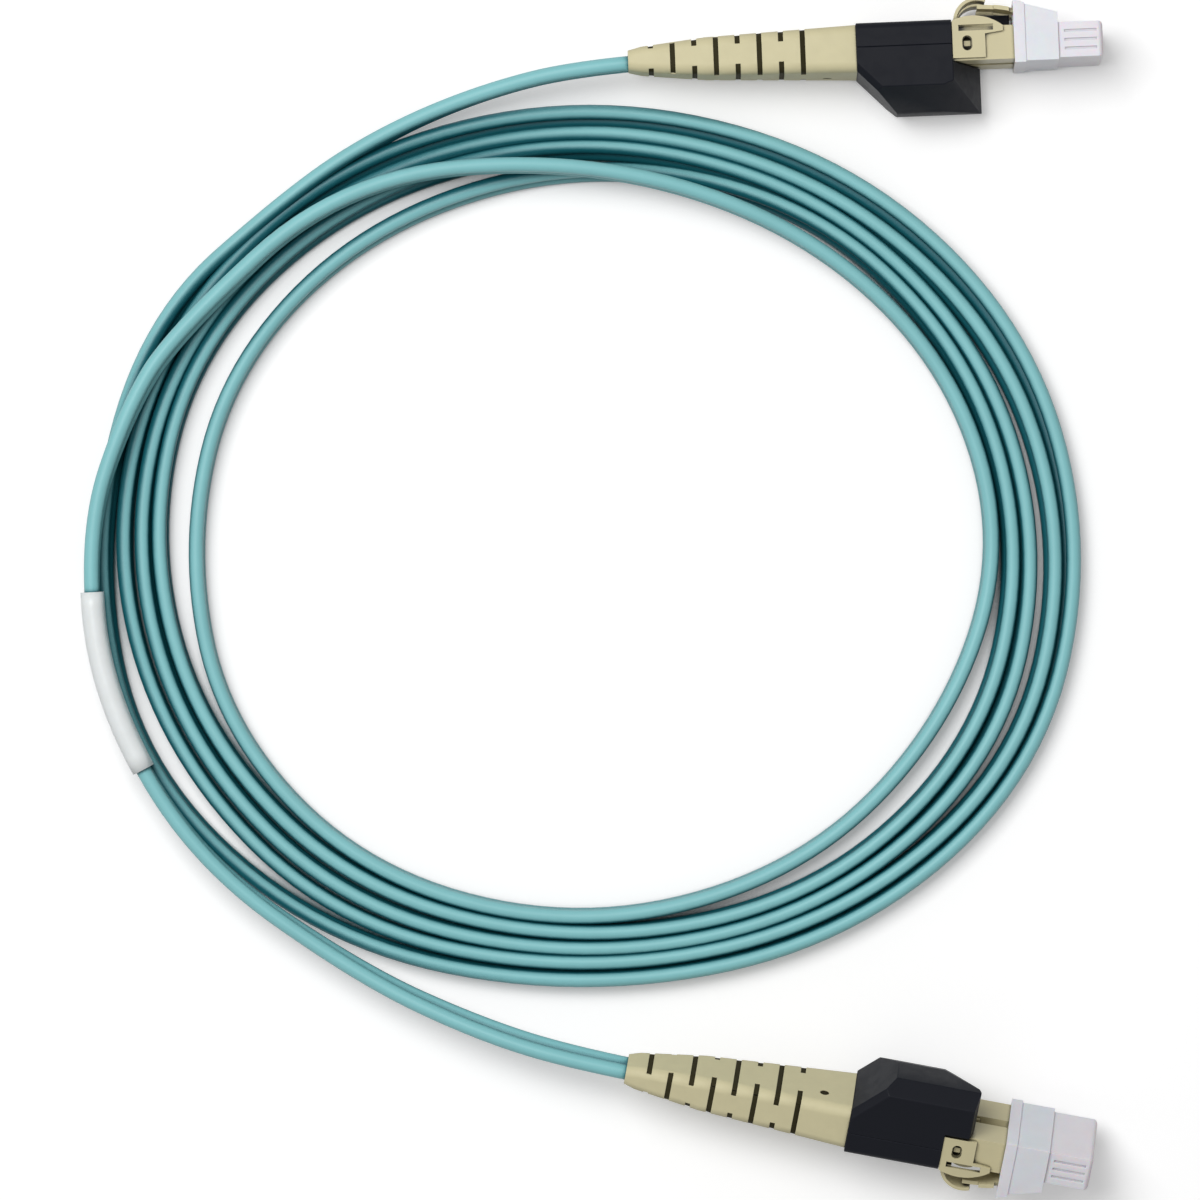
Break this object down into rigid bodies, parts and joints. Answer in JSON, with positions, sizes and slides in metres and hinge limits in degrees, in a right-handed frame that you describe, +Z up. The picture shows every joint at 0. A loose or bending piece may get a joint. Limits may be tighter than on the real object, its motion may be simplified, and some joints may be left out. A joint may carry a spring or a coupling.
{
  "type": "duplex fibre patch cord",
  "caption": "Coiled flat duplex fibre patch cord with a segmented boot, a belly housing, latched plugs with sprung ferrules, and a dust cap at each end.",
  "frame": {"origin": "on the floor, under the middle of the box round the connectors", "axes": "+Z up from the floor, +Y from one connector across the coil to the other, +X the way the plugs point"},
  "size_m": [0.1366, 0.1592, 0.0165],
  "materials": {
    "cable_jacket": "smooth satin aqua jacket",
    "label": "blank whitish film",
    "boot": "satin beige",
    "housing": "satin black",
    "crimp_metal": "plain",
    "cap": "milky translucent",
    "plug": "satin beige",
    "ceramic": "polished white",
    "steel": "plain",
    "fibre": "buffered fibre"
  },
  "bodies": {
    "patch_cord": {"boot_a": "boot", "crimp_sleeve_a": "crimp_metal", "housing_cover_a": "housing", "housing_base_a": "housing", "plug_frame_a1": "plug", "trigger_clip_a1": "plug", "spring_a1": "steel", "spring_stop_a1": "plug", "plug_frame_a2": "plug", "trigger_clip_a2": "plug", "spring_a2": "steel", "spring_stop_a2": "plug", "boot_b": "boot", "crimp_sleeve_b": "crimp_metal", "housing_cover_b": "housing", "housing_base_b": "housing", "plug_frame_b1": "plug", "trigger_clip_b1": "plug", "spring_b1": "steel", "spring_stop_b1": "plug", "plug_frame_b2": "plug", "trigger_clip_b2": "plug", "spring_b2": "steel", "spring_stop_b2": "plug", "cable_tail_a": "cable_jacket", "cable_tail_b": "cable_jacket", "label_sleeve": "label", "cable_coil": "cable_jacket"},
    "dust_cap_a": {"dust_cap_a": "cap"},
    "latch_a1": {"latch_a1": "plug"},
    "trigger_a1": {"trigger_a1": "plug"},
    "ferrule_a1": {"ferrule_a1": "ceramic", "ferrule_flange_a1": "steel", "fibre_a1": "fibre"},
    "latch_a2": {"latch_a2": "plug"},
    "trigger_a2": {"trigger_a2": "plug"},
    "ferrule_a2": {"ferrule_a2": "ceramic", "ferrule_flange_a2": "steel", "fibre_a2": "fibre"},
    "dust_cap_b": {"dust_cap_b": "cap"},
    "latch_b1": {"latch_b1": "plug"},
    "trigger_b1": {"trigger_b1": "plug"},
    "ferrule_b1": {"ferrule_b1": "ceramic", "ferrule_flange_b1": "steel", "fibre_b1": "fibre"},
    "latch_b2": {"latch_b2": "plug"},
    "trigger_b2": {"trigger_b2": "plug"},
    "ferrule_b2": {"ferrule_b2": "ceramic", "ferrule_flange_b2": "steel", "fibre_b2": "fibre"}
  },
  "joints": [
    {"name": "dust_cap_a_slide", "type": "slide", "parent": "patch_cord", "child": "dust_cap_a", "axis": [0.9992, 0.0401, 0], "range_m": [0, 0.025]},
    {"name": "latch_a1_bend", "type": "hinge", "parent": "patch_cord", "child": "latch_a1", "pos_m": [0.02401, 0.0763, 0.00944], "axis": [-0.0035, 0.0871, 0.9962], "range_deg": [0, 8], "stiffness_Nm_per_rad": 0.12},
    {"name": "trigger_a1_bend", "type": "hinge", "parent": "patch_cord", "child": "trigger_a1", "pos_m": [0.0121, 0.07623, 0.00941], "axis": [0.0035, -0.0871, -0.9962], "range_deg": [0, 14.5]},
    {"name": "ferrule_a1_slide", "type": "slide", "parent": "patch_cord", "child": "ferrule_a1", "axis": [-0.9992, -0.0401, 0], "range_m": [0, 0.001], "stiffness_N_per_m": 400, "springref_m": -0.004, "deforming": ["spring_a1"]},
    {"name": "latch_a2_bend", "type": "hinge", "parent": "patch_cord", "child": "latch_a2", "pos_m": [0.02403, 0.07575, 0.00321], "axis": [-0.0035, 0.0871, 0.9962], "range_deg": [0, 8], "stiffness_Nm_per_rad": 0.12},
    {"name": "trigger_a2_bend", "type": "hinge", "parent": "patch_cord", "child": "trigger_a2", "pos_m": [0.01212, 0.07568, 0.00318], "axis": [0.0035, -0.0871, -0.9962], "range_deg": [0, 14.5]},
    {"name": "ferrule_a2_slide", "type": "slide", "parent": "patch_cord", "child": "ferrule_a2", "axis": [-0.9992, -0.0401, 0], "range_m": [0, 0.001], "stiffness_N_per_m": 400, "springref_m": -0.004, "deforming": ["spring_a2"]},
    {"name": "dust_cap_b_slide", "type": "slide", "parent": "patch_cord", "child": "dust_cap_b", "axis": [0.9833, -0.1822, 0], "range_m": [0, 0.025]},
    {"name": "latch_b1_bend", "type": "hinge", "parent": "patch_cord", "child": "latch_b1", "pos_m": [0.02286, -0.07355, 0.004], "axis": [0.0856, 0.4616, -0.8829], "range_deg": [0, 8], "stiffness_Nm_per_rad": 0.12},
    {"name": "trigger_b1_bend", "type": "hinge", "parent": "patch_cord", "child": "trigger_b1", "pos_m": [0.0111, -0.07174, 0.00381], "axis": [-0.0856, -0.4616, 0.8829], "range_deg": [0, 14.5]},
    {"name": "ferrule_b1_slide", "type": "slide", "parent": "patch_cord", "child": "ferrule_b1", "axis": [-0.9833, 0.1822, 0], "range_m": [0, 0.001], "stiffness_N_per_m": 400, "springref_m": -0.004, "deforming": ["spring_b1"]},
    {"name": "latch_b2_bend", "type": "hinge", "parent": "patch_cord", "child": "latch_b2", "pos_m": [0.02233, -0.07644, 0.00952], "axis": [0.0856, 0.4616, -0.8829], "range_deg": [0, 8], "stiffness_Nm_per_rad": 0.12},
    {"name": "trigger_b2_bend", "type": "hinge", "parent": "patch_cord", "child": "trigger_b2", "pos_m": [0.01056, -0.07462, 0.00933], "axis": [-0.0856, -0.4616, 0.8829], "range_deg": [0, 14.5]},
    {"name": "ferrule_b2_slide", "type": "slide", "parent": "patch_cord", "child": "ferrule_b2", "axis": [-0.9833, 0.1822, 0], "range_m": [0, 0.001], "stiffness_N_per_m": 400, "springref_m": -0.004, "deforming": ["spring_b2"]}
  ],
  "couplings": [
    {"joint": "trigger_a1_bend", "follows": "latch_a1_bend", "ratio": 1.75},
    {"joint": "trigger_a2_bend", "follows": "latch_a2_bend", "ratio": 1.75},
    {"joint": "trigger_b1_bend", "follows": "latch_b1_bend", "ratio": 1.75},
    {"joint": "trigger_b2_bend", "follows": "latch_b2_bend", "ratio": 1.75}
  ]
}
